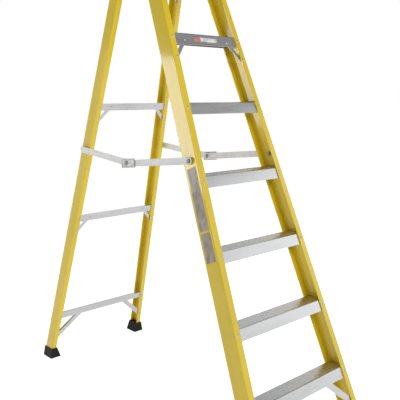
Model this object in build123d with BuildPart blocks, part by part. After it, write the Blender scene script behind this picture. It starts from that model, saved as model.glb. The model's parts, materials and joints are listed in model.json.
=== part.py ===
"""Fibreglass platform step ladder: stepped front frame, folding rear frame and lifting platform.

Millimetres. X runs across the ladder, Y from the front feet to the rear feet, Z up from the
floor, and the origin is on the floor in the middle of the footprint. Every right-hand piece is
drawn at +X and mirrored to make the left-hand one.
"""

import os
from math import asin, atan2, cos, degrees, hypot, radians, sin, sqrt, tan

from build123d import *

# ---- driving dimensions -------------------------------------------------------------------
STEP_PITCH = 304.8
STEP_COUNT = 6
PLATFORM_LEVEL = 7
GUARD_RISE = 609.4
HINGE_RISE = 189.4
BASE_SPREAD = 1761.7
FRONT_LEAN = 22.44
FOLD_SHORTFALL = 1.0

FRONT_WIDTH = 698.8
FRONT_TAPER = 0.070
FRONT_DEPTH = 87.6
FRONT_FLANGE = 33.1
FRONT_WALL = 4.8
FRONT_START = 46.0

REAR_WIDTH = 670.4
REAR_TAPER = 0.067
REAR_DEPTH = 69.4
REAR_FLANGE = 27.9
REAR_WALL = 4.2
REAR_START = 10.0
RAIL_RADIUS = 4.0
FOLD_GAP = 6.0

STEP_DEPTH = 79.0
STEP_HEIGHT = 48.0
STEP_WALL = 2.5
STEP_LIP = 10.0

BAR_COUNT = 4
STEPS_PER_BAR = 2
BAR_DROP = 10.8
BAR_HEIGHT = 36.0
BAR_DEPTH = 25.0
BAR_WALL = 2.5

BRACE_REACH = 150.0
BRACE_DROP = 135.0
BRACE_WIDTH = 28.0
BRACE_THICK = 12.0
BRACE_INSET = 1.0
STRAP_REACH = 68.0
STRAP_DROP = 72.0
STRAP_WIDTH = 18.0
STRAP_WALL = 2.5
STRAP_RISE = 20.0

RIVET_SHANK = 3.2
RIVET_HEAD = 6.0
HEAD_HEIGHT = 2.2
HEAD_TAPER = 35.0
TAIL_RADIUS = 5.0
RIVET_DROP = 17.0
RIVET_SHARE = 0.55

LINK_HEIGHT = 30.0
LINK_WALL = 4.0
LINK_GAP = 0.3
LINK_STANDOFF = 2.5
BOLT_COLLAR = 5.0
BOLT_TAIL = 8.0
LOCK_LENGTH = 102.0
LOCK_LEAD = 12.0
LOCK_HEIGHT = 44.0
LOCK_THICK = 6.0
LOCK_RADIUS = 6.0
LIP_LENGTH = 18.0
LIP_START = 15.0
LIP_THICK = 4.0
SPREADER_LEVEL = 4
SPREADER_RISE = 62.2
SPREADER_DEPTH = 37.6
SPREADER_DROP = 46.0
FRONT_LINK_SHARE = 0.523
REAR_PIVOT_RISE = 56.5
REAR_PIVOT_DEPTH = 47.2
LINK_PIN = 5.0
RUNNING_FIT = 0.05

HINGE_PIN = 8.0
HINGE_PLATE = 5.0
PLATE_RADIUS = 30.7
PLATE_FOOT_RADIUS = 22.0
PLATE_BOLT_RISE = 60.0
PLATE_BOLT_DROP = 80.0
COLLAR_RATIO = 1.7
COLLAR_GAP = 1.3
PIN_TAIL = 9.0
PIN_HEAD = 8.0
PLATFORM_LENGTH = 325.0
PLATFORM_SIDE_GAP = 9.0
PLATFORM_TAPER = 20.0
PLATFORM_WALL = 2.6
PLATFORM_SKIRT = 42.0
PLATFORM_NOSE = 10.0
PLATFORM_PIN_SHARE = 0.3
PLATFORM_RIVETS = (0.15, 0.5, 0.85)
ARM_RETURN = 16.0
ARM_HEEL = 20.0
ARM_TAPER = 100.0
ARM_WALL = 4.0
PLATFORM_PIN = 6.0

FRONT_TOE = 26.0
REAR_HEEL = 66.0
PAD_HEIGHT = 12.0
PAD_RADIUS = 6.0
PAD_WIDTH = 61.1
PAD_DEPTH = 127.6
PAD_OVERHANG = 8.0
SHOE_SETBACK = 6.0
SHOE_WIDTH = 57.1
SHOE_DEPTH = 117.6
SHOE_WALL = 5.0
SHOE_HEIGHT = 74.0
BOOT_HEIGHT = 58.0
BOOT_TOE = 25.0
BOOT_WALL = 5.0
BOOT_WIDTH = 65.9
BOOT_OVERHANG = 10.0
TRAY_DEPTH = 168.0
TRAY_HEIGHT = 42.0
TRAY_WALL = 3.2
TRAY_RADIUS = 16.0
TRAY_OVERHANG = 8.0
TRAY_NOSE = 16.0
POCKET_SHARE = 0.68
HOLE_SHARE = 0.85
HOLE_COUNT = 4
HOLE_RADIUS = 11.0

LABEL_THICK = 0.5
LABEL_WIDTH = 58.0
RAIL_LABEL_SPANS = ((884.0, 1002.0), (1012.0, 1268.0))
STEP_LABEL_DROP = 24.0
STEP_LABEL_HEIGHT = 19.0
STEP_LABELS = (("step_label_red", -76.0, 41.0), ("step_label_white", -34.0, 103.0))

# ---- heights that follow the step pitch ---------------------------------------------------


def step_height(level):
    return STEP_PITCH * level


platform_top = step_height(PLATFORM_LEVEL)
RAIL_TOP = platform_top + GUARD_RISE
HINGE_HEIGHT = platform_top + HINGE_RISE
SPREADER_HEIGHT = step_height(SPREADER_LEVEL) + SPREADER_RISE
REAR_PIVOT_HEIGHT = step_height(SPREADER_LEVEL) + REAR_PIVOT_RISE


def bar_height(row):
    """Top of a rear cross bar."""
    return step_height(1 + STEPS_PER_BAR * row) - BAR_DROP


# ---- lines and planes of the two frames ---------------------------------------------------
front_angle = radians(FRONT_LEAN)
front_slope = tan(front_angle)
front_y = -(BASE_SPREAD + REAR_HEEL - FRONT_TOE) / 2
rear_y = front_y + BASE_SPREAD


def front_face(height, depth=0.0):
    """Y of a plane parallel to the front rails' front faces, so deep behind them."""
    return front_y + front_slope * height + depth / cos(front_angle)


# The fold axis lies behind the front rails by half a rear rail and the folded gap.
hinge_depth = FRONT_DEPTH + FOLD_GAP + REAR_DEPTH / 2
hinge_y = front_face(HINGE_HEIGHT, hinge_depth)

# The rear rail's centre line passes through the fold axis and reaches the floor at rear_y.
foot_offset = hinge_y - rear_y
rear_angle = asin(REAR_DEPTH / 2 / hypot(HINGE_HEIGHT, foot_offset)) - atan2(foot_offset, HINGE_HEIGHT)
rear_slope = tan(rear_angle)


def rear_face(height, depth=0.0):
    """Y of a plane parallel to the rear rails' front faces, so deep behind them."""
    return rear_y - rear_slope * height + depth / cos(rear_angle)


front_plane = Plane(
    origin=(FRONT_WIDTH / 2, front_y, 0),
    x_dir=(0, 1, -front_slope),
    z_dir=(-FRONT_TAPER, front_slope, 1),
)
rear_plane = Plane(
    origin=(REAR_WIDTH / 2, rear_y, 0),
    x_dir=(0, 1, rear_slope),
    z_dir=(-REAR_TAPER, -rear_slope, 1),
)
front_stretch = sqrt(1 + front_slope**2 + FRONT_TAPER**2)
rear_stretch = sqrt(1 + rear_slope**2 + REAR_TAPER**2)


def side_plane(plane, inset):
    """A plane along the rail's web, inset from its outer face, looking outwards."""
    origin = plane.from_local_coords((0, inset, 0))
    return Plane(origin=origin, x_dir=plane.x_dir, z_dir=-plane.y_dir)


def face_x(face, y, z):
    """X of a web face at a point seen from the side."""
    normal = face.z_dir
    return face.origin.X - (normal.Y * (y - face.origin.Y) + normal.Z * (z - face.origin.Z)) / normal.X


def on_rail(plane, y, z):
    """Depth and station on a rail's outer face of a point seen from the side."""
    spot = plane.to_local_coords(Vector(face_x(side_plane(plane, 0), y, z), y, z))
    return spot.X, spot.Z


def across(y, z, x=0.0):
    """A plane at a point, looking along +X, for pins and flat bars."""
    return Plane(origin=(x, y, z), x_dir=(0, 1, 0), z_dir=(1, 0, 0))


def finish(piece, name):
    piece.part.label = name
    export_step(piece.part, f"parts/{name}.step")


def mirrored(piece):
    """The same piece on the other side of the ladder."""
    with BuildPart() as other:
        mirror(piece.part, about=Plane.YZ)
    return other


def finish_pair(piece, name):
    finish(piece, f"{name}_right")
    finish(mirrored(piece), f"{name}_left")


def both_sides(piece):
    """One group made of a piece and its mirror image."""
    with BuildPart() as group:
        add(piece.part)
        mirror(piece.part, about=Plane.YZ)
    return group


os.makedirs("parts", exist_ok=True)

# ---- rivets, drawn first because the rails and steps are drilled for them -----------------


def rivet(spot, outwards, grip, spacer=None):
    """A domed head at spot, a shank that runs grip deep, a flat tail and perhaps a spacer.

    The spacer is given by the depths at which it starts and ends.
    """
    seat = Plane(origin=spot, z_dir=outwards)
    with BuildPart() as body:
        with BuildSketch(seat.offset(-grip)):
            Circle(RIVET_SHANK)
        extrude(amount=grip)
        with BuildSketch(seat):
            Circle(RIVET_HEAD)
        extrude(amount=HEAD_HEIGHT, taper=HEAD_TAPER)
        with BuildSketch(seat.offset(-grip)):
            Circle(TAIL_RADIUS)
        extrude(amount=-HEAD_HEIGHT / 2)
        if spacer:
            with BuildSketch(seat.offset(-spacer[1])):
                Circle(RIVET_HEAD)
            extrude(amount=spacer[1] - spacer[0])
    return body.part


step_grip = FRONT_WALL + STEP_WALL
front_forward = -front_plane.x_dir
front_rivet_inset = FRONT_FLANGE * RIVET_SHARE
step_rivet_heights = [step_height(level) - RIVET_DROP for level in range(1, STEP_COUNT + 1)]
guard_rivet_height = RAIL_TOP - RIVET_DROP


def front_flange_spot(height):
    return front_plane.from_local_coords((0, front_rivet_inset, height * front_stretch))


with BuildPart() as step_rivets_right:
    for rivet_height in step_rivet_heights:
        add(rivet(front_flange_spot(rivet_height), front_forward, step_grip))
with BuildPart() as guard_rivets_right:
    add(rivet(front_flange_spot(guard_rivet_height), front_forward, step_grip))

rear_forward = -rear_plane.x_dir
rear_rivet_inset = REAR_FLANGE * RIVET_SHARE


def rear_flange_spot(height):
    return rear_plane.from_local_coords((0, rear_rivet_inset, height * rear_stretch))


with BuildPart() as rear_rivets_right:
    for row in range(BAR_COUNT):
        spot = rear_flange_spot(bar_height(row) - BAR_HEIGHT / 2)
        add(rivet(spot, rear_forward, REAR_WALL + BAR_WALL))


class Strap:
    """A flat diagonal strap behind a cross piece's skin, riveted to it and to the rail's flange."""

    def __init__(self, plane, wall, skin, inset, low):
        across_web = Plane(origin=plane.from_local_coords((0, wall, 0)), z_dir=-plane.y_dir)
        outwards = -plane.x_dir
        slope = plane.x_dir.Z / plane.x_dir.Y
        seat_y = plane.origin.Y - slope * low
        seat = Vector(face_x(across_web, seat_y, low), seat_y, low)
        run = Vector(STRAP_REACH, 0, 0)
        fall = Vector(0, slope, -1) * STRAP_DROP
        inner = seat - run * (1 + STRAP_RISE / STRAP_DROP) - fall * (STRAP_RISE / STRAP_DROP)
        share = (STRAP_REACH - (inset - wall)) / STRAP_REACH
        outer = seat - run * (1 - share) + fall * share
        self.face = Plane(origin=inner - outwards * (wall + skin), x_dir=(1, 0, 0), z_dir=-outwards)
        self.ends = [self.face.to_local_coords(end) for end in (inner, outer)]
        self.rivets = [
            rivet(inner - outwards * wall, outwards, skin + STRAP_WALL),
            rivet(outer, outwards, wall + skin + STRAP_WALL, (wall, wall + skin)),
        ]

    def draw(self):
        inner, outer = self.ends
        run = outer - inner
        with BuildPart() as strap:
            with BuildSketch(self.face):
                with Locations(((inner.X + outer.X) / 2, (inner.Y + outer.Y) / 2)):
                    SlotCenterToCenter(
                        hypot(run.X, run.Y), STRAP_WIDTH, rotation=degrees(atan2(run.Y, run.X))
                    )
            extrude(amount=STRAP_WALL)
            for fixing in self.rivets:
                add(fixing, mode=Mode.SUBTRACT)
        return strap


top_step_bottom = step_height(STEP_COUNT) - STEP_HEIGHT
step_strap = Strap(front_plane, FRONT_WALL, STEP_WALL, front_rivet_inset, top_step_bottom)
bar_straps = [
    Strap(rear_plane, REAR_WALL, BAR_WALL, rear_rivet_inset, bar_height(row) - BAR_HEIGHT)
    for row in range(1, BAR_COUNT)
]
with step_rivets_right:
    for fixing in step_strap.rivets:
        add(fixing)
with rear_rivets_right:
    for strap in bar_straps:
        for fixing in strap.rivets:
            add(fixing)

plate_plane = side_plane(front_plane, 0)
pin_depth, pin_station = on_rail(front_plane, hinge_y, HINGE_HEIGHT)
plate_bolt_stations = (pin_station + PLATE_BOLT_RISE, pin_station - PLATE_BOLT_DROP)
plate_bolt_spots = [(FRONT_DEPTH / 2, station) for station in plate_bolt_stations]
with BuildPart() as plate_bolts_right:
    for depth, station in plate_bolt_spots:
        spot = plate_plane.from_local_coords((depth, station, HINGE_PLATE))
        add(rivet(spot, plate_plane.z_dir, HINGE_PLATE + FRONT_WALL))

# ---- rails --------------------------------------------------------------------------------


def channel(plane, depth, flange, wall, start, end):
    """A rail: a channel with its web outside and its flanges pointing to the middle."""
    with BuildPart() as rail:
        with BuildSketch(plane.offset(start)) as profile:
            Rectangle(depth, flange, align=(Align.MIN, Align.MIN))
            fillet(profile.vertices().group_by(Axis.Y)[0], radius=RAIL_RADIUS)
            with Locations((wall, wall)):
                Rectangle(depth - 2 * wall, flange, align=(Align.MIN, Align.MIN), mode=Mode.SUBTRACT)
        extrude(amount=end - start)
    return rail


def pin(radius, y, z, start, end):
    """A plain round pin along X."""
    with BuildPart() as shaft:
        with BuildSketch(across(y, z, start)):
            Circle(radius)
        extrude(amount=end - start)
    return shaft.part


spreader_front_y = front_face(SPREADER_HEIGHT, SPREADER_DEPTH)
platform_pin_z = platform_top - PLATFORM_SKIRT / 2
platform_pin_y = front_face(platform_pin_z, FRONT_DEPTH * PLATFORM_PIN_SHARE)

# Far enough past the rail on both sides for a hole to run right through its web.
through_start = FRONT_WIDTH / 12
through_end = FRONT_WIDTH

front_rail_end = (RAIL_TOP + FRONT_DEPTH) * front_stretch
front_rail_right = channel(
    front_plane, FRONT_DEPTH, FRONT_FLANGE, FRONT_WALL, FRONT_START * front_stretch, front_rail_end
)
with front_rail_right:
    split(bisect_by=Plane.XY.offset(RAIL_TOP), keep=Keep.BOTTOM)
    add(step_rivets_right.part, mode=Mode.SUBTRACT)
    add(guard_rivets_right.part, mode=Mode.SUBTRACT)
    add(plate_bolts_right.part, mode=Mode.SUBTRACT)
    add(pin(LINK_PIN, spreader_front_y, SPREADER_HEIGHT, through_start, through_end), mode=Mode.SUBTRACT)
    add(pin(PLATFORM_PIN, platform_pin_y, platform_pin_z, through_start, through_end), mode=Mode.SUBTRACT)
finish_pair(front_rail_right, "front_rail")

# ---- spreader pivots: the centre one hangs a little past straight -------------------------
rear_pivot_y = rear_face(REAR_PIVOT_HEIGHT, REAR_PIVOT_DEPTH)
centre_y = spreader_front_y + FRONT_LINK_SHARE * (rear_pivot_y - spreader_front_y)
centre_z = SPREADER_HEIGHT - SPREADER_DROP

# The rear rail's top is rounded about the fold axis.
hinge_station = on_rail(rear_plane, hinge_y, HINGE_HEIGHT)[1]
rear_rail_right = channel(
    rear_plane, REAR_DEPTH, REAR_FLANGE, REAR_WALL, REAR_START * rear_stretch, hinge_station
)
with rear_rail_right:
    with BuildSketch(side_plane(rear_plane, 0)) as round_end:
        with Locations((REAR_DEPTH / 2, hinge_station)):
            Circle(REAR_DEPTH / 2)
    extrude(round_end.sketch, amount=-REAR_WALL)
    add(rear_rivets_right.part, mode=Mode.SUBTRACT)
    fold_hole = pin(HINGE_PIN + RUNNING_FIT, hinge_y, HINGE_HEIGHT, through_start, through_end)
    add(fold_hole, mode=Mode.SUBTRACT)
    add(pin(LINK_PIN, rear_pivot_y, REAR_PIVOT_HEIGHT, through_start, through_end), mode=Mode.SUBTRACT)
finish_pair(rear_rail_right, "rear_rail")

# ---- cutting planes along the webs' inner faces -------------------------------------------
front_web = side_plane(front_plane, FRONT_WALL)
rear_web = side_plane(rear_plane, REAR_WALL)


def trim(web):
    """Cut the piece being built off at both webs of a frame."""
    split(bisect_by=web, keep=Keep.BOTTOM)
    other = Plane(
        origin=(-web.origin.X, web.origin.Y, web.origin.Z),
        z_dir=(-web.z_dir.X, web.z_dir.Y, web.z_dir.Z),
    )
    split(bisect_by=other, keep=Keep.BOTTOM)


# ---- steps --------------------------------------------------------------------------------


def tread(top):
    """A step: flat tread, sloping front and rear faces, and a lip under each."""
    low = top - STEP_HEIGHT
    roof = top - STEP_WALL
    shelf = low + STEP_WALL
    front = FRONT_WALL
    skin = STEP_WALL / cos(front_angle)

    def edge(height, inset):
        return front_face(height, front) + inset, height

    with BuildPart() as step:
        with BuildSketch(Plane.YZ):
            Polygon(
                edge(low, 0), edge(low, STEP_DEPTH), edge(top, STEP_DEPTH), edge(top, 0), align=None
            )
            Polygon(
                edge(shelf, skin),
                edge(shelf, STEP_DEPTH - skin),
                edge(roof, STEP_DEPTH - skin),
                edge(roof, skin),
                align=None,
                mode=Mode.SUBTRACT,
            )
            Polygon(
                edge(low, skin + STEP_LIP),
                edge(low, STEP_DEPTH - skin - STEP_LIP),
                edge(roof, STEP_DEPTH - skin - STEP_LIP),
                edge(roof, skin + STEP_LIP),
                align=None,
                mode=Mode.SUBTRACT,
            )
        extrude(amount=FRONT_WIDTH / 2, both=True)
        trim(front_web)
    return step


step_gusset = step_strap.draw()
finish_pair(step_gusset, "step_gusset")
step_straps = both_sides(step_gusset)
step_rivets = both_sides(step_rivets_right)
guard_rivets = both_sides(guard_rivets_right)
for level in range(1, STEP_COUNT + 1):
    step = tread(step_height(level))
    with step:
        add(step_rivets.part, mode=Mode.SUBTRACT)
        if level == STEP_COUNT:
            add(step_straps.part, mode=Mode.SUBTRACT)
    finish(step, f"step_{level}")
guard_bar = tread(RAIL_TOP)
with guard_bar:
    add(guard_rivets.part, mode=Mode.SUBTRACT)
finish(guard_bar, "guard_bar")
finish(step_rivets, "step_rivets")
finish(guard_rivets, "guard_rivets")

# ---- knee braces under the bottom step and the lowest rear bar ----------------------------


def strut(plane, web, wall, slope, top):
    """A channel strut from under a cross piece down to the rail's web, open to the rear."""
    depth = wall + BRACE_INSET + BRACE_THICK / 2
    foot = top - BRACE_DROP
    foot_y = plane.origin.Y + slope * foot + depth * hypot(1, slope)
    run = Vector(BRACE_REACH, -slope * BRACE_DROP, -BRACE_DROP)
    start = Vector(face_x(web, foot_y, foot), foot_y, foot) - run * 2
    with BuildPart() as brace:
        with BuildSketch(Plane(origin=start, x_dir=plane.x_dir, z_dir=run)):
            Rectangle(BRACE_THICK, BRACE_WIDTH)
            with Locations((STRAP_WALL, 0)):
                Rectangle(BRACE_THICK, BRACE_WIDTH - 2 * STRAP_WALL, mode=Mode.SUBTRACT)
        extrude(amount=3 * run.length)
        split(bisect_by=Plane.XY.offset(top), keep=Keep.BOTTOM)
        split(bisect_by=web, keep=Keep.BOTTOM)
    return brace


step_bottom = step_height(1) - STEP_HEIGHT
front_brace = strut(front_plane, front_web, FRONT_WALL, front_slope, step_bottom)
finish_pair(front_brace, "step_brace")
bar_bottom = bar_height(0) - BAR_HEIGHT
rear_brace = strut(rear_plane, rear_web, REAR_WALL, -rear_slope, bar_bottom)
finish_pair(rear_brace, "rear_brace")

# ---- rear cross bars ----------------------------------------------------------------------
rear_rivets = both_sides(rear_rivets_right)
for row in range(BAR_COUNT):
    top = bar_height(row)
    low = top - BAR_HEIGHT
    skin = BAR_WALL / cos(rear_angle)
    with BuildPart() as bar:
        with BuildSketch(Plane.YZ):
            Polygon(
                (rear_face(low, REAR_WALL), low),
                (rear_face(low, REAR_WALL) + BAR_DEPTH, low),
                (rear_face(top, REAR_WALL) + BAR_DEPTH, top),
                (rear_face(top, REAR_WALL), top),
                align=None,
            )
            Polygon(
                (rear_face(low + BAR_WALL, REAR_WALL) + skin, low + BAR_WALL),
                (rear_face(low + BAR_WALL, REAR_WALL) + BAR_DEPTH, low + BAR_WALL),
                (rear_face(top - BAR_WALL, REAR_WALL) + BAR_DEPTH, top - BAR_WALL),
                (rear_face(top - BAR_WALL, REAR_WALL) + skin, top - BAR_WALL),
                align=None,
                mode=Mode.SUBTRACT,
            )
        extrude(amount=REAR_WIDTH / 2, both=True)
        trim(rear_web)
        add(rear_rivets.part, mode=Mode.SUBTRACT)
        if row > 0:
            gussets = both_sides(bar_straps[row - 1].draw())
            add(gussets.part, mode=Mode.SUBTRACT)
            finish(gussets, f"rear_gussets_{row + 1}")
    finish(bar, f"rear_bar_{row + 1}")
finish(rear_rivets, "rear_rivets")

# ---- feet ---------------------------------------------------------------------------------
foot_half = FRONT_WIDTH / 2
with BuildPart() as front_shoe:
    with BuildSketch(Plane.XY.offset(PAD_HEIGHT)):
        with Locations((foot_half + SHOE_SETBACK, front_y - FRONT_TOE + SHOE_SETBACK)):
            Rectangle(SHOE_WIDTH, SHOE_DEPTH, align=(Align.MAX, Align.MIN))
    with BuildSketch(Plane.XY.offset(SHOE_HEIGHT)):
        shoe_edge = foot_half - FRONT_TAPER * SHOE_HEIGHT + SHOE_WALL
        with Locations((shoe_edge, front_face(SHOE_HEIGHT) - SHOE_WALL)):
            Rectangle(
                FRONT_FLANGE + 2 * SHOE_WALL,
                FRONT_DEPTH / cos(front_angle) + 2 * SHOE_WALL,
                align=(Align.MAX, Align.MIN),
            )
    loft()
    add(front_rail_right.part, mode=Mode.SUBTRACT)
finish_pair(front_shoe, "front_shoe")
with BuildPart() as front_pad:
    with BuildSketch():
        with Locations((foot_half + PAD_OVERHANG, front_y - FRONT_TOE)):
            Rectangle(PAD_WIDTH, PAD_DEPTH, align=(Align.MAX, Align.MIN))
    extrude(amount=PAD_HEIGHT)
    fillet(front_pad.edges().filter_by(Axis.Z), radius=PAD_RADIUS)
    add(front_rail_right.part, mode=Mode.SUBTRACT)
finish_pair(front_pad, "front_pad")

rear_half = REAR_WIDTH / 2
with BuildPart() as rear_boot:
    with BuildSketch():
        with Locations((rear_half + BOOT_OVERHANG, rear_y - BOOT_TOE)):
            Rectangle(BOOT_WIDTH, REAR_HEEL + BOOT_TOE, align=(Align.MAX, Align.MIN))
    with BuildSketch(Plane.XY.offset(BOOT_HEIGHT)):
        boot_edge = rear_half - REAR_TAPER * BOOT_HEIGHT + BOOT_WALL
        with Locations((boot_edge, rear_face(BOOT_HEIGHT) - BOOT_WALL)):
            Rectangle(
                REAR_FLANGE + 2 * BOOT_WALL,
                REAR_DEPTH / cos(rear_angle) + 2 * BOOT_WALL,
                align=(Align.MAX, Align.MIN),
            )
    loft()
    add(rear_rail_right.part, mode=Mode.SUBTRACT)
finish_pair(rear_boot, "rear_boot")

# ---- fold hinge ---------------------------------------------------------------------------
hinge_x = face_x(plate_plane, hinge_y, HINGE_HEIGHT)
rear_hinge_x = face_x(side_plane(rear_plane, 0), hinge_y, HINGE_HEIGHT)
hinge_tail = rear_hinge_x - REAR_WALL - PIN_TAIL
hinge_collar = HINGE_PIN * COLLAR_RATIO
with BuildPart() as hinge_pin:
    add(pin(HINGE_PIN, hinge_y, HINGE_HEIGHT, hinge_tail, hinge_x + HINGE_PLATE + COLLAR_GAP))
    add(pin(hinge_collar, hinge_y, HINGE_HEIGHT, hinge_tail, rear_hinge_x - REAR_WALL - COLLAR_GAP))
    add(pin(hinge_collar, hinge_y, HINGE_HEIGHT, rear_hinge_x + COLLAR_GAP, hinge_x - COLLAR_GAP))
    head_start = hinge_x + HINGE_PLATE + COLLAR_GAP
    add(pin(hinge_collar, hinge_y, HINGE_HEIGHT, head_start, hinge_x + HINGE_PLATE + PIN_HEAD))
with BuildPart() as hinge_plate:
    with BuildSketch(plate_plane):
        with Locations((pin_depth, pin_station)):
            Circle(PLATE_RADIUS)
        with Locations(*plate_bolt_spots):
            Circle(PLATE_FOOT_RADIUS)
        make_hull()
    extrude(amount=HINGE_PLATE)
    add(plate_bolts_right.part, mode=Mode.SUBTRACT)
    add(hinge_pin.part, mode=Mode.SUBTRACT)
finish_pair(hinge_plate, "hinge_plate")
finish_pair(hinge_pin, "hinge_pin")
finish(both_sides(plate_bolts_right), "hinge_plate_bolts")

# ---- platform -----------------------------------------------------------------------------
platform_front = front_face(platform_top) - PLATFORM_NOSE
platform_rear = platform_front + PLATFORM_LENGTH
platform_front_half = FRONT_WIDTH / 2 - FRONT_TAPER * platform_top - FRONT_FLANGE - PLATFORM_SIDE_GAP
platform_rear_half = platform_front_half - PLATFORM_TAPER
deck_low = platform_top - PLATFORM_WALL
rest_height = bar_height(BAR_COUNT - 1) + LINK_GAP
arm_x = platform_rear_half - ARM_WALL
bar_front = rear_face(bar_height(BAR_COUNT - 1), REAR_WALL)
with BuildPart() as platform_rivets_right:
    for share in PLATFORM_RIVETS:
        spot = Vector(arm_x - ARM_RETURN / 2, platform_front + PLATFORM_LENGTH * share, platform_top)
        add(rivet(spot, Vector(0, 0, 1), 2 * PLATFORM_WALL))
platform_rivets = both_sides(platform_rivets_right)
with BuildPart() as platform_deck:
    with BuildSketch(Plane.XY.offset(deck_low)):
        Polygon(
            (-platform_front_half, platform_front),
            (platform_front_half, platform_front),
            (platform_rear_half, platform_rear),
            (-platform_rear_half, platform_rear),
            align=None,
        )
    extrude(amount=PLATFORM_WALL)
    with BuildSketch(Plane.XY.offset(deck_low)):
        with Locations((0, platform_front + PLATFORM_WALL / 2)):
            Rectangle(2 * platform_front_half, PLATFORM_WALL)
    extrude(amount=PLATFORM_WALL - PLATFORM_SKIRT)
    with BuildSketch(Plane.XY.offset(deck_low)):
        with Locations((0, platform_rear - PLATFORM_WALL / 2)):
            Rectangle(2 * platform_rear_half, PLATFORM_WALL)
    extrude(amount=rest_height - deck_low)
    add(platform_rivets.part, mode=Mode.SUBTRACT)
finish(platform_deck, "platform_deck")
with BuildPart() as platform_arm:
    with BuildSketch(across(0, 0, arm_x)):
        Polygon(
            (platform_front + PLATFORM_WALL, deck_low),
            (platform_rear - PLATFORM_WALL, deck_low),
            (platform_rear - PLATFORM_WALL, rest_height),
            (bar_front - ARM_HEEL, rest_height),
            (bar_front - ARM_HEEL - ARM_TAPER, platform_top - PLATFORM_SKIRT),
            (platform_front + PLATFORM_WALL, platform_top - PLATFORM_SKIRT),
            align=None,
        )
    extrude(amount=ARM_WALL)
    with BuildSketch(Plane.XY.offset(deck_low)):
        with Locations((arm_x, platform_front + PLATFORM_LENGTH / 2)):
            Rectangle(ARM_RETURN, PLATFORM_LENGTH - 2 * PLATFORM_WALL, align=(Align.MAX, Align.CENTER))
    extrude(amount=-PLATFORM_WALL)
    arm_hole = pin(PLATFORM_PIN + RUNNING_FIT, platform_pin_y, platform_pin_z, through_start, through_end)
    add(arm_hole, mode=Mode.SUBTRACT)
    add(platform_rivets_right.part, mode=Mode.SUBTRACT)
finish_pair(platform_arm, "platform_arm")
finish(platform_rivets, "platform_rivets")
pin_web = face_x(front_web, platform_pin_y, platform_pin_z)
pin_face = face_x(plate_plane, platform_pin_y, platform_pin_z)
platform_collar = PLATFORM_PIN * COLLAR_RATIO
arm_outside = arm_x + ARM_WALL + LINK_GAP
with BuildPart() as platform_pin:
    add(pin(PLATFORM_PIN, platform_pin_y, platform_pin_z, arm_x - PIN_HEAD, pin_face + PIN_HEAD / 2))
    add(pin(platform_collar, platform_pin_y, platform_pin_z, arm_x - PIN_HEAD, arm_x - LINK_GAP))
    add(pin(platform_collar, platform_pin_y, platform_pin_z, arm_outside, pin_web - COLLAR_GAP))
    add(pin(platform_collar, platform_pin_y, platform_pin_z, pin_face + COLLAR_GAP, pin_face + PIN_HEAD))
finish_pair(platform_pin, "platform_pin")

# ---- tool tray on top of the rails --------------------------------------------------------
tray_half = face_x(plate_plane, front_face(RAIL_TOP), RAIL_TOP) + TRAY_OVERHANG
tray_front = front_face(RAIL_TOP) - TRAY_NOSE
with BuildPart() as tool_tray:
    with BuildSketch(Plane.XY.offset(RAIL_TOP)):
        with Locations((0, tray_front + TRAY_DEPTH / 2)):
            RectangleRounded(2 * tray_half, TRAY_DEPTH, TRAY_RADIUS)
    extrude(amount=TRAY_HEIGHT)
    with BuildSketch(Plane.XY.offset(RAIL_TOP + TRAY_WALL)):
        with Locations((0, tray_front + TRAY_WALL + TRAY_DEPTH * POCKET_SHARE / 2)):
            pocket_half = tray_half - TRAY_WALL
            pocket_radius = TRAY_RADIUS - TRAY_WALL
            RectangleRounded(2 * pocket_half, TRAY_DEPTH * POCKET_SHARE, pocket_radius)
    extrude(amount=TRAY_HEIGHT, mode=Mode.SUBTRACT)
    with BuildSketch(Plane.XY.offset(RAIL_TOP)):
        with Locations((0, tray_front + TRAY_DEPTH * HOLE_SHARE)):
            with GridLocations(2 * tray_half / HOLE_COUNT, 0, HOLE_COUNT, 1):
                Circle(HOLE_RADIUS)
    extrude(amount=TRAY_HEIGHT, mode=Mode.SUBTRACT)
finish(tool_tray, "tool_tray")

# ---- spreaders ----------------------------------------------------------------------------
rear_link_x = face_x(plate_plane, spreader_front_y, SPREADER_HEIGHT) + LINK_STANDOFF
front_link_x = rear_link_x + LINK_WALL + LINK_GAP


def flat_link(x, start, end, start_hole, end_hole):
    """A flat bar with round ends between two pivots given as (y, z)."""
    run = Vector(end[0] - start[0], end[1] - start[1])
    with BuildPart() as link:
        with BuildSketch(across(0, 0, x)):
            with Locations(((start[0] + end[0]) / 2, (start[1] + end[1]) / 2)):
                SlotCenterToCenter(run.length, LINK_HEIGHT, rotation=degrees(atan2(run.Y, run.X)))
            with Locations(start):
                Circle(start_hole, mode=Mode.SUBTRACT)
            with Locations(end):
                Circle(end_hole, mode=Mode.SUBTRACT)
        extrude(amount=LINK_WALL)
    return link


front_pivot = (spreader_front_y, SPREADER_HEIGHT)
centre_pivot = (centre_y, centre_z)
rear_end = (rear_pivot_y, REAR_PIVOT_HEIGHT)
loose = LINK_PIN + RUNNING_FIT
front_link = flat_link(front_link_x, front_pivot, centre_pivot, loose, LINK_PIN)
finish_pair(front_link, "spreader_front_link")
rear_link = flat_link(rear_link_x, centre_pivot, rear_end, loose, LINK_PIN)
with rear_link:
    boss_start = rear_link_x + LINK_WALL
    add(pin(LINK_PIN + BOLT_COLLAR, *rear_end, boss_start, boss_start + LINK_WALL))
finish_pair(rear_link, "spreader_rear_link")
front_turn = atan2(-SPREADER_DROP, centre_y - spreader_front_y)
rear_turn = degrees(atan2(REAR_PIVOT_HEIGHT - centre_z, rear_pivot_y - centre_y))
lock_x = front_link_x + LINK_WALL
lock_middle = (centre_y - LOCK_LEAD * cos(front_turn), centre_z - LOCK_LEAD * sin(front_turn))
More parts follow.
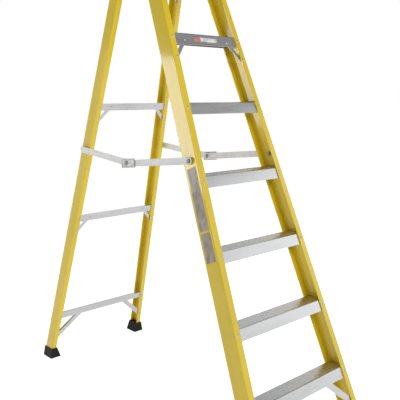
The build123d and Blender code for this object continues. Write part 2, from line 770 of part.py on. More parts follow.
with BuildPart() as spreader_lock:
    with BuildSketch(across(0, 0, lock_x)) as block_outline:
        with Locations(lock_middle):
            Rectangle(LOCK_LENGTH, LOCK_HEIGHT, rotation=degrees(front_turn))
        fillet(block_outline.vertices(), radius=LOCK_RADIUS)
    extrude(amount=LOCK_THICK)
    with BuildSketch(across(*centre_pivot, rear_link_x)) as lip_outline:
        with Locations(Location((0, 0, 0), (0, 0, rear_turn))):
            with Locations((LIP_START, LINK_HEIGHT / 2 + LINK_GAP)):
                Rectangle(LIP_LENGTH, LIP_THICK, align=(Align.CENTER, Align.MIN))
    extrude(lip_outline.sketch, amount=2 * LINK_WALL + LINK_GAP)
    add(pin(LINK_PIN, *centre_pivot, rear_link_x, lock_x + 2 * LOCK_THICK), mode=Mode.SUBTRACT)
finish_pair(spreader_lock, "spreader_lock")
pin_cap = lock_x + LOCK_THICK
with BuildPart() as spreader_pin:
    add(pin(LINK_PIN, *centre_pivot, rear_link_x - LINK_STANDOFF, pin_cap + LINK_STANDOFF))
    add(pin(LINK_PIN + BOLT_COLLAR, *centre_pivot, rear_link_x - LINK_STANDOFF, rear_link_x - LINK_GAP))
    add(pin(LINK_PIN + BOLT_COLLAR, *centre_pivot, pin_cap, pin_cap + LINK_STANDOFF))
finish_pair(spreader_pin, "spreader_pin")
spread_web = face_x(front_web, *front_pivot)
spread_face = face_x(plate_plane, *front_pivot)
bolt_radius = LINK_PIN + BOLT_COLLAR
with BuildPart() as spreader_bolt:
    add(pin(LINK_PIN, *front_pivot, spread_web - BOLT_TAIL, lock_x + LINK_WALL))
    add(pin(bolt_radius, *front_pivot, spread_web - BOLT_TAIL, spread_web - COLLAR_GAP))
    add(pin(bolt_radius, *front_pivot, spread_face + COLLAR_GAP, front_link_x - LINK_GAP))
    add(pin(bolt_radius, *front_pivot, lock_x + LINK_GAP, lock_x + LINK_WALL))
finish_pair(spreader_bolt, "spreader_bolt")
# The stud is swaged flush with the inside of the rear rail's web.
stud_web = face_x(rear_web, *rear_end)
stud_face = face_x(side_plane(rear_plane, 0), *rear_end)
with BuildPart() as spreader_stud:
    add(pin(LINK_PIN, *rear_end, stud_web, rear_link_x - LINK_GAP * 2))
    add(pin(bolt_radius, *rear_end, stud_face + COLLAR_GAP, rear_link_x - LINK_WALL))
finish(both_sides(spreader_stud), "spreader_studs")

# ---- labels -------------------------------------------------------------------------------
with BuildPart() as rail_labels_right:
    with BuildSketch(plate_plane):
        for low, high in RAIL_LABEL_SPANS:
            with Locations((FRONT_DEPTH / 2, (low + high) / 2 * front_stretch)):
                Rectangle(LABEL_WIDTH, (high - low) * front_stretch)
    extrude(amount=LABEL_THICK)
finish(mirrored(rail_labels_right), "rail_labels")
label_height = step_height(STEP_COUNT) - STEP_LABEL_DROP
label_plane = Plane(
    origin=(0, front_face(label_height, FRONT_WALL), label_height),
    x_dir=(1, 0, 0),
    z_dir=(0, -cos(front_angle), sin(front_angle)),
)
for name, start, width in STEP_LABELS:
    with BuildPart() as label:
        with BuildSketch(label_plane):
            with Locations((start, 0)):
                Rectangle(width, STEP_LABEL_HEIGHT / cos(front_angle), align=(Align.MIN, Align.CENTER))
        extrude(amount=LABEL_THICK)
    finish(label, name)

# ---- joint places, for the record ---------------------------------------------------------
print("fold", hinge_y, HINGE_HEIGHT, "range", FRONT_LEAN + degrees(rear_angle) - FOLD_SHORTFALL)
print("platform", platform_pin_y, platform_pin_z)
print("front link", front_pivot, "centre", centre_pivot, "rear end", rear_end, "x", rear_link_x)
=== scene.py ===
"""Looks of a fibreglass platform step ladder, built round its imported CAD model. Metres."""

import json
from math import cos, pi, radians, sin, tan

import bmesh
import bpy
from mathutils import Matrix, Vector


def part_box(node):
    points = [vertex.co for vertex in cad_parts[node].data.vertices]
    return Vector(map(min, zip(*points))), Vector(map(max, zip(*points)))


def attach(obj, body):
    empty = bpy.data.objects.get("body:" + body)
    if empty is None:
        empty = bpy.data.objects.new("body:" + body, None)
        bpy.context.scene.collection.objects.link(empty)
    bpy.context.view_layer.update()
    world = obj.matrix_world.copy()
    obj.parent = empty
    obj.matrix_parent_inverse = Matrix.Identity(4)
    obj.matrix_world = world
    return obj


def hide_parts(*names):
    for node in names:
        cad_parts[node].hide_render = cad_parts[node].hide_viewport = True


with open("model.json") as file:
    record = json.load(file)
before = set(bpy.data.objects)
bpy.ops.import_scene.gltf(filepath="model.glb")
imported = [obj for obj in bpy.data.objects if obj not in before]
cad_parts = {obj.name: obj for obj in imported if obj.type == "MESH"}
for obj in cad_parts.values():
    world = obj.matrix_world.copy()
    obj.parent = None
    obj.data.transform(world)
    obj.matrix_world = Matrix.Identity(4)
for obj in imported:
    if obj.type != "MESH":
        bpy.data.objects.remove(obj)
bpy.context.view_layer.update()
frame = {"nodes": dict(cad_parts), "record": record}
nodes = frame["nodes"]
bodies = frame["record"]["behaviour"]["bodies"]
body_of = {node: body for body, members in bodies.items() for node in members}
slot_of = {part["node"]: part["material_slot"] for part in frame["record"]["subparts"]}

FRONT_LEAN = radians(22.44)
REAR_LEAN = radians(16.76)
FRONT_TAPER = 0.070
SIDES = ("left", "right")

WELD_DISTANCE = 2e-6
TOUCHING = 1e-7
SAME_PLANE = 1e-5
SANDED = 0.0007
FACING = 0.9
FLAT_ANGLE = radians(0.3)
SHARP_ANGLE = radians(28)
SMOOTH_ANGLE = radians(35)
RIBBED_SMOOTH_ANGLE = radians(25)
DOMED_SMOOTH_ANGLE = radians(50)
TURN_STEPS = 28


# ---- camera -------------------------------------------------------------------------------
def add_camera():
    """A long lens at head height, in front and to the left, looking slightly down."""
    place = Vector((-1.9904, -2.26695, 1.5620))
    azimuth, fall, roll = radians(-42.753), radians(12.272), radians(0.121)
    forward = Vector((-sin(azimuth) * cos(fall), cos(azimuth) * cos(fall), -sin(fall)))
    level_right = forward.cross(Vector((0, 0, 1))).normalized()
    level_up = level_right.cross(forward)
    right = level_right * cos(roll) + level_up * sin(roll)
    up = level_up * cos(roll) - level_right * sin(roll)
    data = bpy.data.cameras.new("camera")
    data.sensor_width = 36
    data.lens = 54.47
    data.shift_x = -0.001
    data.shift_y = 0.0645
    data.clip_end = 100
    camera = bpy.data.objects.new("camera", data)
    turn = Matrix((right, up, -forward)).transposed().to_4x4()
    camera.matrix_world = Matrix.Translation(place) @ turn
    bpy.context.scene.collection.objects.link(camera)
    bpy.context.scene.camera = camera


add_camera()


# ---- materials ----------------------------------------------------------------------------
class Finish:
    """A Principled material with short helpers for its pattern nodes."""

    def __init__(self, name, color, roughness, metallic=0.0, **sockets):
        self.material = bpy.data.materials.new(name)
        self.material.use_nodes = True
        self.tree = self.material.node_tree
        self.shader = self.tree.nodes["Principled BSDF"]
        self.set("Base Color", (*color, 1))
        self.set("Roughness", roughness)
        self.set("Metallic", metallic)
        for socket, value in sockets.items():
            self.set(socket.replace("_", " "), value)
        coords = self.tree.nodes.new("ShaderNodeTexCoord")
        self.place = coords.outputs["Object"]

    def set(self, socket, value):
        self.shader.inputs[socket].default_value = value

    def link(self, output, target):
        self.tree.links.new(output, target)

    def mapped(self, scale, turn=(0, 0, 0)):
        """Object coordinates, turned and then stretched."""
        turned = self.tree.nodes.new("ShaderNodeMapping")
        turned.inputs["Rotation"].default_value = turn
        self.link(self.place, turned.inputs["Vector"])
        stretched = self.tree.nodes.new("ShaderNodeMapping")
        stretched.inputs["Scale"].default_value = scale
        self.link(turned.outputs["Vector"], stretched.inputs["Vector"])
        return stretched.outputs["Vector"]

    def noise(self, vector, detail):
        texture = self.tree.nodes.new("ShaderNodeTexNoise")
        texture.inputs["Scale"].default_value = 1.0
        texture.inputs["Detail"].default_value = detail
        texture.inputs["Roughness"].default_value = 0.55
        self.link(vector, texture.inputs["Vector"])
        return texture.outputs["Fac"]

    def ramp(self, factor, stops):
        """Colours at places along a factor."""
        node = self.tree.nodes.new("ShaderNodeValToRGB")
        while len(node.color_ramp.elements) < len(stops):
            node.color_ramp.elements.new(0.5)
        for element, (place, color) in zip(node.color_ramp.elements, stops):
            element.position = place
            element.color = (*color, 1)
        self.link(factor, node.inputs["Fac"])
        return node.outputs["Color"]

    def span(self, factor, low, high, start=0.3, end=0.7):
        """A value from low to high while the factor goes from start to end."""
        node = self.tree.nodes.new("ShaderNodeMapRange")
        node.inputs["From Min"].default_value = start
        node.inputs["From Max"].default_value = end
        node.inputs["To Min"].default_value = low
        node.inputs["To Max"].default_value = high
        self.link(factor, node.inputs["Value"])
        return node.outputs["Result"]

    def color(self, output):
        self.link(output, self.shader.inputs["Base Color"])

    def rough(self, output):
        self.link(output, self.shader.inputs["Roughness"])

    def bump(self, height, distance, strength):
        node = self.tree.nodes.new("ShaderNodeBump")
        node.inputs["Distance"].default_value = distance
        node.inputs["Strength"].default_value = strength
        self.link(height, node.inputs["Height"])
        self.link(node.outputs["Normal"], self.shader.inputs["Normal"])


def shade(color, factor):
    """A lighter or darker version of a colour."""
    return tuple(part * factor for part in color)


def fibreglass(name, lean):
    """Pultruded rail: fine fibres along its length under a glossy resin skin."""
    yellow, pale_yellow = (0.80, 0.590, 0.014), (0.84, 0.625, 0.021)
    fibre_share = 0.45
    skin = {"Coat_Weight": 1.0, "Coat_Roughness": 0.10, "Coat_IOR": 1.50}
    finish = Finish(name, yellow, 0.42, Specular_IOR_Level=0.25, **skin)
    fibres = finish.noise(finish.mapped((420, 420, 5), (lean, 0, 0)), detail=4)
    drifts = finish.noise(finish.mapped((9, 9, 2.2), (lean, 0, 0)), detail=2)
    mixed = finish.tree.nodes.new("ShaderNodeMath")
    mixed.operation = "MULTIPLY_ADD"
    mixed.inputs[1].default_value = fibre_share
    finish.link(fibres, mixed.inputs[0])
    finish.link(finish.span(drifts, 0.15, 0.40), mixed.inputs[2])
    tones = [(0.30, shade(yellow, 0.88)), (0.50, yellow), (0.72, pale_yellow)]
    finish.color(finish.ramp(mixed.outputs["Value"], tones))
    finish.rough(finish.span(drifts, 0.36, 0.48))
    finish.bump(fibres, 0.0002, 0.25)
    return finish.material


def mill_aluminium(name, along, tone=(0.66, 0.665, 0.67), rough=0.27):
    """Extruded aluminium: fine die lines along one axis and a faint mottled tone."""
    stretch = [700.0, 700.0, 700.0]
    stretch["XYZ".index(along)] = 6.0
    finish = Finish(name, tone, rough, metallic=1.0)
    lines = finish.noise(finish.mapped(stretch), detail=2)
    spread = [26.0, 26.0, 26.0]
    spread["XYZ".index(along)] = 4.0
    mottle = finish.noise(finish.mapped(spread), detail=2)
    finish.color(finish.ramp(mottle, [(0.3, shade(tone, 0.94)), (0.7, shade(tone, 1.04))]))
    finish.rough(finish.span(mottle, rough - 0.02, rough + 0.04))
    finish.bump(lines, 0.00015, 0.25)
    return finish.material


def painted_alloy(name):
    """Satin grey lacquer over pressed alloy."""
    tone = (0.88, 0.89, 0.87)
    finish = Finish(name, tone, 0.45)
    patches = finish.noise(finish.mapped((40, 25, 40)), detail=3)
    grain = finish.noise(finish.mapped((800, 60, 800)), detail=2)
    finish.color(finish.ramp(patches, [(0.3, shade(tone, 0.90)), (0.7, shade(tone, 1.06))]))
    finish.rough(finish.span(patches, 0.40, 0.52))
    finish.bump(grain, 0.0001, 0.3)
    return finish.material


def cast_alloy(name):
    """Dull cast alloy with a grainy skin."""
    tone = (0.50, 0.49, 0.47)
    finish = Finish(name, tone, 0.48, metallic=0.9)
    grain = finish.noise(finish.mapped((900, 900, 900)), detail=3)
    patches = finish.noise(finish.mapped((60, 60, 60)), detail=3)
    finish.color(finish.ramp(patches, [(0.3, shade(tone, 0.75)), (0.7, shade(tone, 1.15))]))
    finish.bump(grain, 0.0003, 0.5)
    return finish.material


def plated_steel(name, tone):
    """Plated steel with a fine patchy tone."""
    finish = Finish(name, tone, 0.33, metallic=1.0)
    patches = finish.noise(finish.mapped((220, 220, 220)), detail=3)
    finish.color(finish.ramp(patches, [(0.3, shade(tone, 0.80)), (0.7, shade(tone, 1.10))]))
    finish.rough(finish.span(patches, 0.26, 0.44))
    return finish.material


def moulded(name, tone, rough, grain_size, depth):
    """Moulded rubber or plastic with a fine pebbled skin."""
    finish = Finish(name, tone, rough, Specular_IOR_Level=0.28)
    grain = finish.noise(finish.mapped((grain_size, grain_size, grain_size)), detail=2)
    wear = finish.noise(finish.mapped((35, 35, 35)), detail=4)
    finish.color(finish.ramp(wear, [(0.35, shade(tone, 0.8)), (0.7, shade(tone, 1.6))]))
    finish.rough(finish.span(wear, rough - 0.06, rough + 0.10))
    finish.bump(grain, depth, 0.6)
    return finish.material


def printed_film(name, tone, blocks):
    """A blank printed label: flat tone with soft darker and lighter areas."""
    finish = Finish(name, tone, 0.40, Coat_Weight=0.15)
    areas = finish.noise(finish.mapped(blocks), detail=2)
    tones = [(0.38, shade(tone, 0.70)), (0.5, tone), (0.62, shade(tone, 1.25))]
    finish.color(finish.ramp(areas, tones))
    finish.rough(finish.span(areas, 0.34, 0.46))
    return finish.material


MATERIALS = {
    "front_rail": fibreglass("front rail fibreglass", FRONT_LEAN),
    "rear_rail": fibreglass("rear rail fibreglass", -REAR_LEAN),
    "aluminium_mill": mill_aluminium("step aluminium", "X"),
    "plate_alloy": mill_aluminium("plate alloy", "Z", (0.60, 0.60, 0.60), 0.36),
    "link": painted_alloy("link alloy"),
    "cast_alloy": cast_alloy("cast lock alloy"),
    "fastener_steel": plated_steel("zinc plated steel", (0.55, 0.54, 0.52)),
    # The near-black pin and bolt steel tone is partly the bolts' own dark steel and partly
    # painted shade for the shadow beside the link ends.
    "dark_steel_painted_shade": plated_steel("dark bolt steel with painted shade", (0.17, 0.155, 0.14)),
    "stud_steel": plated_steel("yellow zinc stud steel", (0.42, 0.35, 0.17)),
    "foot_rubber": moulded("foot rubber", (0.006, 0.006, 0.0062), 0.50, 900, 0.0003),
    "tray_plastic": moulded("tray plastic", (0.035, 0.036, 0.038), 0.46, 1300, 0.0002),
    "label_red": printed_film("red label film", (0.62, 0.24, 0.22), (40, 40, 40)),
    "label_white": printed_film("white label film", (0.80, 0.79, 0.76), (40, 40, 40)),
    "label_grey": printed_film("grey label film", (0.36, 0.31, 0.25), (30, 30, 18)),
}


# ---- making pieces ------------------------------------------------------------------------
def piece(name, bm, material, *stood_for, smooth=SMOOTH_ANGLE):
    """Turn a bmesh into a finished piece that stands for CAD nodes and rides on their body."""
    mesh = bpy.data.meshes.new(name)
    bm.to_mesh(mesh)
    bm.free()
    mesh.polygons.foreach_set("use_smooth", [True] * len(mesh.polygons))
    mesh.set_sharp_from_angle(angle=smooth)
    mesh.materials.append(material)
    made = bpy.data.objects.new(name, mesh)
    bpy.context.scene.collection.objects.link(made)
    even = made.modifiers.new("even shading", "WEIGHTED_NORMAL")
    even.keep_sharp = True
    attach(made, body_of[stood_for[0]])
    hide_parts(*stood_for)


def welded(node):
    """A closed copy of a CAD node's mesh with its flat faces whole again."""
    bm = bmesh.new()
    bm.from_mesh(nodes[node].data)
    bmesh.ops.remove_doubles(bm, verts=bm.verts, dist=WELD_DISTANCE)
    bmesh.ops.dissolve_limit(bm, angle_limit=FLAT_ANGLE, verts=bm.verts, edges=bm.edges)
    return bm


def ease(bm, width, longer=0.0):
    """Round every sharp edge a little, or only those longer than a given length."""
    shared = [edge for edge in bm.edges if len(edge.link_faces) == 2]
    sharp = [
        edge
        for edge in shared
        if edge.calc_face_angle() > SHARP_ANGLE and edge.calc_length() > longer
    ]
    bmesh.ops.bevel(
        bm,
        geom=sharp,
        offset=width,
        offset_type="OFFSET",
        segments=2,
        profile=0.5,
        affect="EDGES",
        clamp_overlap=True,
        material=-1,
    )


def eased(node, width, material):
    """A CAD node with its sharp edges rounded."""
    bm = welded(node)
    ease(bm, width)
    piece(f"{node}_finished", bm, material, node)


def draw_bar(bm, outline, travel):
    """Extrude a closed outline of points along X."""
    face = bm.faces.new([bm.verts.new(point) for point in outline])
    drawn = bmesh.ops.extrude_face_region(bm, geom=[face])
    moved = [item for item in drawn["geom"] if isinstance(item, bmesh.types.BMVert)]
    bmesh.ops.translate(bm, verts=moved, vec=(travel, 0, 0))


# ---- steps and guard bar ------------------------------------------------------------------
def web_normal(side):
    """Outward direction of a front rail's web."""
    slope = tan(FRONT_LEAN)
    return Vector((side * (1 + slope**2), FRONT_TAPER * slope, FRONT_TAPER)).normalized()


def web_cut(bm, corner, side):
    """Trim a cross piece along a front rail's web; corner is its lowest front corner there."""
    cut = bmesh.ops.bisect_plane(
        bm,
        geom=bm.verts[:] + bm.edges[:] + bm.faces[:],
        plane_co=corner,
        plane_no=web_normal(side),
        clear_outer=True,
        dist=TOUCHING,
    )
    rim = [item for item in cut["geom_cut"] if isinstance(item, bmesh.types.BMEdge)]
    bmesh.ops.edgeloop_fill(bm, edges=rim)


STEP_WALL = 0.0025
STEP_LIP = 0.010
STEP_CORNER = 0.0028
CORNER_CUT = STEP_CORNER * 0.3
STEP_SPARE = 0.01
RIB_PITCH = 0.0100
RIB_HEIGHT = 0.0011
RIB_MARGIN = 0.006
RIB_SHAPE = ((0.22, 0.0), (0.30, 0.7), (0.38, 1.0), (0.62, 1.0), (0.70, 0.7), (0.78, 0.0))


def tread_outline(depth, height):
    """Section of a step with a ribbed tread: (back, down) points from its front top edge."""
    wall, lip, corner, cut = STEP_WALL, STEP_LIP, STEP_CORNER, CORNER_CUT
    points = [(0, height), (0, corner), (cut, cut), (corner, 0)]
    count = int((depth - RIB_MARGIN) / RIB_PITCH)
    start = (depth - count * RIB_PITCH) / 2
    for rib in range(count):
        back = start + rib * RIB_PITCH
        points += [(back + RIB_PITCH * along, -RIB_HEIGHT * rise) for along, rise in RIB_SHAPE]
    points += [(depth - corner, 0), (depth - cut, cut), (depth, corner), (depth, height)]
    points += [(depth - lip, height), (depth - lip, height - wall), (depth - wall, height - wall)]
    points += [(depth - wall, wall), (wall, wall), (wall, height - wall), (lip, height - wall)]
    points += [(lip, height)]
    return points


def make_step(node):
    """A ribbed channel between the two front rails, as deep and high as its CAD node."""
    low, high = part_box(node)
    slope = tan(FRONT_LEAN)
    height = high.z - low.z
    depth = (high.y - low.y) - slope * height
    front_top = low.y + slope * height
    outline = [
        (low.x - STEP_SPARE, front_top + back - slope * down, high.z - down)
        for back, down in tread_outline(depth, height)
    ]
    bm = bmesh.new()
    draw_bar(bm, outline, high.x - low.x + 2 * STEP_SPARE)
    bmesh.ops.recalc_face_normals(bm, faces=bm.faces)
    web_cut(bm, Vector((high.x, low.y, low.z)), 1)
    web_cut(bm, Vector((low.x, low.y, low.z)), -1)
    bmesh.ops.recalc_face_normals(bm, faces=bm.faces)
    piece(f"{node}_ribbed", bm, MATERIALS["aluminium_mill"], node, smooth=RIBBED_SMOOTH_ANGLE)


for level in range(1, 7):
    make_step(f"step_{level}")
make_step("guard_bar")


# ---- rails --------------------------------------------------------------------------------
def make_rail(node, material):
    """A rail with its flange tips and cut ends eased by a light sanding."""
    bm = welded(node)
    ease(bm, SANDED, longer=0.02)
    piece(f"{node}_sanded", bm, material, node)


for side in SIDES:
    make_rail(f"front_rail_{side}", MATERIALS["front_rail"])
    make_rail(f"rear_rail_{side}", MATERIALS["rear_rail"])


# ---- rivets and bolts ---------------------------------------------------------------------
def islands(bm):
    """Groups of vertices that hang together."""
    left = set(bm.verts)
    while left:
        group, border = set(), [left.pop()]
        while border:
            vert = border.pop()
            group.add(vert)
            near = {edge.other_vert(vert) for edge in vert.link_edges} & left
            left -= near
            border.extend(near)
        yield group


def turned(bm, center, axis, outline):
    """Turn an outline of (radius, height) points about an axis through center."""
    axis = axis.normalized()
    side = axis.orthogonal().normalized()
    chain = [bm.verts.new(center + side * radius + axis * height) for radius, height in outline]
    edges = [bm.edges.new(pair) for pair in zip(chain, chain[1:])]
    bmesh.ops.spin(
        bm,
        geom=chain + edges,
        cent=center,
        axis=axis,
        angle=2 * pi,
        steps=TURN_STEPS,
        use_merge=True,
        use_duplicate=False,
    )
    bmesh.ops.remove_doubles(bm, verts=bm.verts, dist=TOUCHING)


STEP_FORWARD = Vector((0, -cos(FRONT_LEAN), sin(FRONT_LEAN)))
BAR_FORWARD = Vector((0, -cos(REAR_LEAN), -sin(REAR_LEAN)))
UP = Vector((0, 0, 1))

# Rivet sizes are radii and heights in millimetres.
HEAD_HEIGHT, TAIL_HEIGHT, TAIL_EDGE = 2.2, 1.1, 0.4
SHANK, SHANK_SINK, TAIL_FOOT, TAIL_RIM, TAIL_END = 3.2, 0.02, 4.4, 4.9, 3.4
DOME = [(0, HEAD_HEIGHT), (1.6, 2.1), (3.1, 1.75), (4.4, 1.2), (5.4, 0.55), (5.9, 0.0)]


def rivet_outline(grip):
    """Section of a rivet from the top of its dome down to its tail, in metres."""
    end = -grip - TAIL_HEIGHT
    shank = [(SHANK, -SHANK_SINK), (SHANK, -grip)]
    tail = [(TAIL_FOOT, -grip), (TAIL_RIM, -grip - TAIL_EDGE), (TAIL_END, end), (0, end)]
    return [(radius / 1000, height / 1000) for radius, height in DOME + shank + tail]


def make_rivets(node, outwards):
    """Domed rivets: outwards gives the direction of each head from its middle."""
    source = welded(node)
    bm = bmesh.new()
    for group in islands(source):
        middle = sum((vert.co for vert in group), Vector()) / len(group)
        axis = outwards(middle)
        reach = [(vert.co - middle).dot(axis) for vert in group]
        top, low = max(reach), min(reach)
        seat = middle + axis * (top - HEAD_HEIGHT / 1000)
        grip = (top - low) * 1000 - HEAD_HEIGHT - TAIL_HEIGHT
        turned(bm, seat, axis, rivet_outline(grip))
    source.free()
    bmesh.ops.recalc_face_normals(bm, faces=bm.faces)
    piece(f"{node}_domed", bm, MATERIALS["fastener_steel"], node, smooth=DOMED_SMOOTH_ANGLE)


make_rivets("step_rivets", lambda middle: STEP_FORWARD)
make_rivets("guard_rivets", lambda middle: STEP_FORWARD)
make_rivets("rear_rivets", lambda middle: BAR_FORWARD)
make_rivets("platform_rivets", lambda middle: UP)
make_rivets("hinge_plate_bolts", lambda middle: web_normal(1 if middle.x > 0 else -1))


# ---- moulded and pressed feet with sunk panels --------------------------------------------
STEEPEST_TOP = 0.6


def make_panelled(node, ending, width, rim, depth, smallest):
    """An eased foot whose large upright sides each carry a shallow sunk panel."""
    bm = welded(node)
    fours = [face for face in bm.faces if len(face.verts) == 4]
    upright = [face for face in fours if abs(face.normal.z) < STEEPEST_TOP]
    sides = [face for face in upright if face.calc_area() > smallest]
    bmesh.ops.inset_individual(bm, faces=sides, thickness=rim, depth=-depth, use_even_offset=True)
    ease(bm, width)
    piece(f"{node}_{ending}", bm, MATERIALS[slot_of[node]], node)


FEET = {
    "rear_boot": dict(ending="moulded", width=0.0022, rim=0.009, depth=0.0016, smallest=0.0015),
    "front_pad": dict(ending="moulded", width=0.0015, rim=0.0028, depth=0.0012, smallest=0.0004),
    "front_shoe": dict(ending="pressed", width=0.0020, rim=0.010, depth=0.0012, smallest=0.0015),
}
for side in SIDES:
    for stem, sizes in FEET.items():
        make_panelled(f"{stem}_{side}", **sizes)


# ---- spreader links -----------------------------------------------------------------------
LINK_THICKNESS = 0.004
LINK_RIM, LINK_WALL, LINK_SUNK = 0.0060, 0.0012, 0.0009
END_STEPS = 12


def make_link(node, material):
    """A pressed flat bar with round ends and a long sunk panel on both faces."""
    source = welded(node)
    low_x = min(vert.co.x for vert in source.verts)
    high_x = max(vert.co.x for vert in source.verts)
    thick = min(LINK_THICKNESS, high_x - low_x)
    outside = 1 if low_x > 0 else -1
    flat_low = low_x if outside > 0 else high_x - thick
    rim = [vert.co for vert in source.verts if abs(vert.co.x - flat_low) < SAME_PLANE]
    middle = sum(rim, Vector()) / len(rim)
    far = max(rim, key=lambda co: (co - middle).length)
    run = Vector((0, far.y - middle.y, far.z - middle.z)).normalized()
    if run.y < 0:
        run = -run
    rise = Vector((1, 0, 0)).cross(run)
    reach = [(co - middle).dot(run) for co in rim]
    heights = [(co - middle).dot(rise) for co in rim]
    half = (max(heights) - min(heights)) / 2
    level = middle + rise * (max(heights) + min(heights)) / 2
    source.free()
    outline = []
    for end, start in ((max(reach) - half, -pi / 2), (min(reach) + half, pi / 2)):
        for step in range(END_STEPS + 1):
            angle = start + pi * step / END_STEPS
            spot = level + run * (end + half * cos(angle)) + rise * (half * sin(angle))
            outline.append((flat_low, spot.y, spot.z))
    bm = bmesh.new()
    draw_bar(bm, outline, thick)
    bmesh.ops.recalc_face_normals(bm, faces=bm.faces)
    broad = [face for face in bm.faces if abs(face.normal.x) > FACING]
    for thickness, depth in ((LINK_RIM, 0.0), (LINK_WALL, -LINK_SUNK)):
        bmesh.ops.inset_individual(
            bm, faces=broad, thickness=thickness, depth=depth, use_even_offset=True
        )
    ease(bm, SANDED)
    piece(f"{node}_pressed", bm, material, node)


for side in SIDES:
    make_link(f"spreader_front_link_{side}", MATERIALS["link"])
    make_link(f"spreader_rear_link_{side}", MATERIALS["link"])


# ---- platform deck ------------------------------------------------------------------------
GRIP_PITCH, GRIP_MARGIN = 0.0125, 0.030
GRIP_HALF, GRIP_RISE, GRIP_SINK = 0.0028, 0.0011, 0.0002
GRIP_SHAPE = (
    (-GRIP_HALF, -GRIP_SINK),
    (-GRIP_HALF * 0.6, GRIP_RISE),
    (GRIP_HALF * 0.6, GRIP_RISE),
    (GRIP_HALF, -GRIP_SINK),
)
DECK_TAPER, DECK_EDGE = 0.020, 0.034


def make_deck(node):
    """The deck with grip ribs across it, shorter towards its narrow end."""
    bm = welded(node)
    ease(bm, 0.0008)
    low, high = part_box(node)
    count = int((high.y - low.y - 2 * GRIP_MARGIN) / GRIP_PITCH)
    for rib in range(count + 1):
        middle = low.y + GRIP_MARGIN + rib * GRIP_PITCH
        share = (middle - low.y) / (high.y - low.y)
        half = high.x - DECK_TAPER * share - DECK_EDGE
        outline = [(-half, middle + across, high.z + rise) for across, rise in GRIP_SHAPE]
        draw_bar(bm, outline, 2 * half)
    bmesh.ops.recalc_face_normals(bm, faces=bm.faces)
    piece(f"{node}_ribbed", bm, MATERIALS["aluminium_mill"], node, smooth=RIBBED_SMOOTH_ANGLE)


make_deck("platform_deck")


# ---- spreader locks -----------------------------------------------------------------------
LOCK_RIM, LOCK_WALL, LOCK_SUNK = 0.0045, 0.0010, 0.0014
FACE_DEPTH = 1e-4
RING_INNER, RING_OUTER, RING_SINK = 0.0102, 0.0140, 0.0016
RING_SHAPE = [
    (RING_INNER, -RING_SINK),
    (RING_INNER, 0.0),
    (RING_INNER + 0.0004, 0.0006),
    (RING_OUTER - 0.0006, 0.0006),
    (RING_OUTER, 0.0),
    (RING_OUTER, -RING_SINK),
    (RING_INNER, -RING_SINK),
]


def make_lock(node):
    """The cast lock with a sunk face and a raised ring round its pivot."""
    bm = welded(node)
    outside = 1 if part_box(node)[0].x > 0 else -1
    faces = [face for face in bm.faces if face.normal.x * outside > FACING]
    far = max(face.calc_center_median().x * outside for face in faces)
    faces = [face for face in faces if face.calc_center_median().x * outside > far - FACE_DEPTH]
    for thickness, depth in ((LOCK_RIM, 0.0), (LOCK_WALL, -LOCK_SUNK)):
        bmesh.ops.inset_region(
            bm, faces=faces, thickness=thickness, depth=depth, use_even_offset=True
        )
    ease(bm, SANDED)
    pin_low, pin_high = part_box(node.replace("lock", "pin"))
    pivot = (pin_low + pin_high) / 2
    center = Vector((far * outside, pivot.y, pivot.z))
    turned(bm, center, Vector((outside, 0, 0)), RING_SHAPE)
    bmesh.ops.recalc_face_normals(bm, faces=bm.faces)
    piece(f"{node}_cast", bm, MATERIALS["cast_alloy"], node)


for side in SIDES:
    make_lock(f"spreader_lock_{side}")


# ---- eased copies of the plain CAD pieces -------------------------------------------------
PAIRS = {
    "hinge_plate": (0.0012, "plate_alloy"),
    "hinge_pin": (0.0010, "fastener_steel"),
    "platform_pin": (0.0008, "fastener_steel"),
    "platform_arm": (0.0008, "plate_alloy"),
    # Spreader pins and bolts take the dark steel whose tone carries painted shade.
    "spreader_pin": (0.0010, "dark_steel_painted_shade"),
    "spreader_bolt": (0.0010, "dark_steel_painted_shade"),
    "step_brace": (0.0006, "aluminium_mill"),
    "step_gusset": (0.0006, "aluminium_mill"),
    "rear_brace": (0.0006, "aluminium_mill"),
}
SINGLES = {
    **{f"rear_bar_{level}": (0.0006, "aluminium_mill") for level in range(1, 5)},
    **{f"rear_gussets_{level}": (0.0006, "aluminium_mill") for level in range(2, 5)},
    "tool_tray": (0.0010, "tray_plastic"),
    "spreader_studs": (0.0010, "stud_steel"),
    "rail_labels": (0.0001, "label_grey"),
    "step_label_red": (0.0001, "label_red"),
    "step_label_white": (0.0001, "label_white"),
}
PLAIN = {f"{stem}_{side}": finish for stem, finish in PAIRS.items() for side in SIDES} | SINGLES
for node, (width, material) in PLAIN.items():
    eased(node, width, MATERIALS[material])


# ---- studio -------------------------------------------------------------------------------
def add_floor():
    """A pale floor that glows, less in the light it throws than to the camera."""
    seen_glow, thrown_glow = 0.75, 0.40
    bm = bmesh.new()
    bmesh.ops.create_grid(bm, x_segments=2, y_segments=2, size=400)
    mesh = bpy.data.meshes.new("floor")
    bm.to_mesh(mesh)
    bm.free()
    finish = Finish("pale floor", (0.93, 0.93, 0.93), 0.9, Emission_Strength=seen_glow)
    finish.set("Emission Color", (1, 1, 1, 1))
    path = finish.tree.nodes.new("ShaderNodeLightPath")
    glow = finish.span(path.outputs["Is Camera Ray"], thrown_glow, seen_glow, 0.0, 1.0)
    finish.link(glow, finish.shader.inputs["Emission Strength"])
    mesh.materials.append(finish.material)
    floor = bpy.data.objects.new("floor", mesh)
    bpy.context.scene.collection.objects.link(floor)


def add_light(name, place, target, size, radiance):
    """A rectangular softbox that faces its target, not seen by the camera."""
    data = bpy.data.lights.new(name, "AREA")
    data.shape = "RECTANGLE"
    data.size, data.size_y = size
    data.energy = radiance * pi * size[0] * size[1]
    light = bpy.data.objects.new(name, data)
    light.location = place
    light.rotation_euler = (Vector(target) - Vector(place)).to_track_quat("-Z", "Y").to_euler()
    light.visible_camera = False
    bpy.context.scene.collection.objects.link(light)


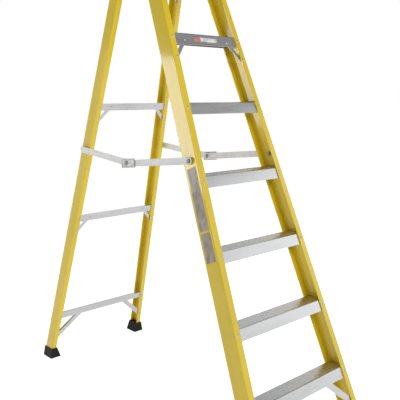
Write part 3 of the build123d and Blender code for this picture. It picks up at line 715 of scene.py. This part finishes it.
def add_sky():
    """A white studio: bright walls under a dim ceiling, and less light on the left side."""
    world = bpy.data.worlds.new("studio")
    bpy.context.scene.world = world
    world.use_nodes = True
    tree = world.node_tree
    background = tree.nodes["Background"]
    coords = tree.nodes.new("ShaderNodeTexCoord")
    split = tree.nodes.new("ShaderNodeSeparateXYZ")
    ramp = tree.nodes.new("ShaderNodeValToRGB")
    stops = ramp.color_ramp.elements
    stops[0].position, stops[0].color = 0.36, (0.95, 0.95, 0.95, 1)
    stops[1].position, stops[1].color = 0.50, (0.26, 0.26, 0.265, 1)
    path = tree.nodes.new("ShaderNodeLightPath")
    mix = tree.nodes.new("ShaderNodeMix")
    mix.data_type = "RGBA"
    tree.links.new(coords.outputs["Generated"], split.inputs["Vector"])
    tree.links.new(split.outputs["Z"], ramp.inputs["Fac"])
    tree.links.new(path.outputs["Is Camera Ray"], mix.inputs["Factor"])
    side = tree.nodes.new("ShaderNodeMapRange")
    side.inputs["From Min"].default_value = -0.6
    side.inputs["From Max"].default_value = 0.2
    side.inputs["To Min"].default_value = 0.25
    side.inputs["To Max"].default_value = 1.0
    tree.links.new(split.outputs["X"], side.inputs["Value"])
    dimmed = tree.nodes.new("ShaderNodeVectorMath")
    dimmed.operation = "SCALE"
    tree.links.new(ramp.outputs["Color"], dimmed.inputs[0])
    tree.links.new(side.outputs["Result"], dimmed.inputs["Scale"])
    tree.links.new(dimmed.outputs["Vector"], mix.inputs["A"])
    mix.inputs["B"].default_value = (1, 1, 1, 1)
    tree.links.new(mix.outputs["Result"], background.inputs["Color"])
    background.inputs["Strength"].default_value = 1.0


add_floor()
add_sky()
add_light("key", (-1.2, -4.6, 4.4), (0, 0, 1.2), (2.4, 2.4), 6.0)
add_light("side", (-2.40, 2.44, 1.52), (-0.28, -0.31, 1.40), (1.0, 1.3), 4.9)
add_light("right wall", (3.4, -0.2, 1.65), (0, -0.2, 1.65), (6.5, 2.9), 0.4)
bpy.context.scene.view_settings.view_transform = "Standard"
